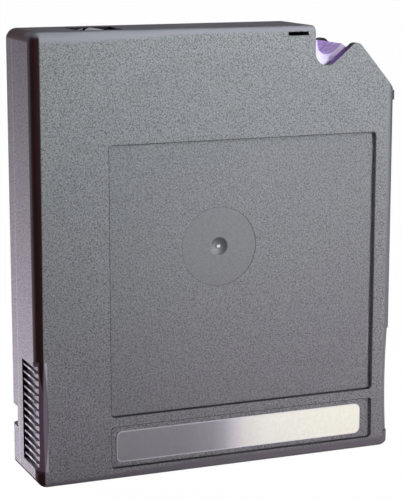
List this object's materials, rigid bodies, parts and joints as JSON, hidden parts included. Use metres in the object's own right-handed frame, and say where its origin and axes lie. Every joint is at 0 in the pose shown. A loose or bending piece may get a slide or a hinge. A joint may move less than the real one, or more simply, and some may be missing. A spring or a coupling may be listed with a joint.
{
  "type": "data tape cartridge",
  "caption": "Flat rectangular single-reel data tape cartridge with a bevelled corner, leader block and toothed drive hub.",
  "frame": {"origin": "under the middle of the overall box, on the rear edge that the cartridge stands on", "axes": "+X along the width, +Y from the label face to the drive face, +Z from the rear edge to the front edge"},
  "size_m": [0.109, 0.0254, 0.125],
  "materials": {
    "case_plastic": "fine leather-like mould grain",
    "label_foil": "satin printed film",
    "leader_plastic": "smooth moulded",
    "reel_plastic": "smooth moulded",
    "brake_nylon": "smooth moulded",
    "wheel_plastic": "smooth moulded",
    "insert_steel": "ground",
    "spring_steel": "drawn wire",
    "screw_steel": "blackened",
    "tape_film": "coated film"
  },
  "bodies": {
    "case": {"top_shell": "case_plastic", "bottom_shell": "case_plastic", "case_screws": "screw_steel", "label": "label_foil", "brake_spring": "spring_steel"},
    "reel": {"reel_hub": "reel_plastic", "upper_flange": "reel_plastic", "hub_insert": "insert_steel", "tape_pack": "tape_film"},
    "brake": {"brake_button": "brake_nylon"},
    "leader": {"leader_block": "leader_plastic", "leader_pin": "leader_plastic", "tape_leader": "tape_film"},
    "selector": {"file_protect_wheel": "wheel_plastic"}
  },
  "joints": [
    {"name": "reel_spin", "type": "hinge", "parent": "case", "child": "reel", "pos_m": [0, 0, 0.064], "axis": [0, 1, 0], "continuous": true},
    {"name": "brake_release", "type": "slide", "parent": "case", "child": "brake", "axis": [0, -1, 0], "range_m": [0, 0.0026], "stiffness_N_per_m": 1200, "springref_m": -0.004, "deforming": ["brake_spring"]},
    {"name": "leader_pull", "type": "slide", "parent": "case", "child": "leader", "axis": [0.7638, 0, 0.6455], "range_m": [0, 0.04], "deforming": ["tape_leader"]},
    {"name": "selector_turn", "type": "hinge", "parent": "case", "child": "selector", "pos_m": [-0.0328, 0, 0.1156], "axis": [0, 1, 0], "range_deg": [0, 180]}
  ]
}
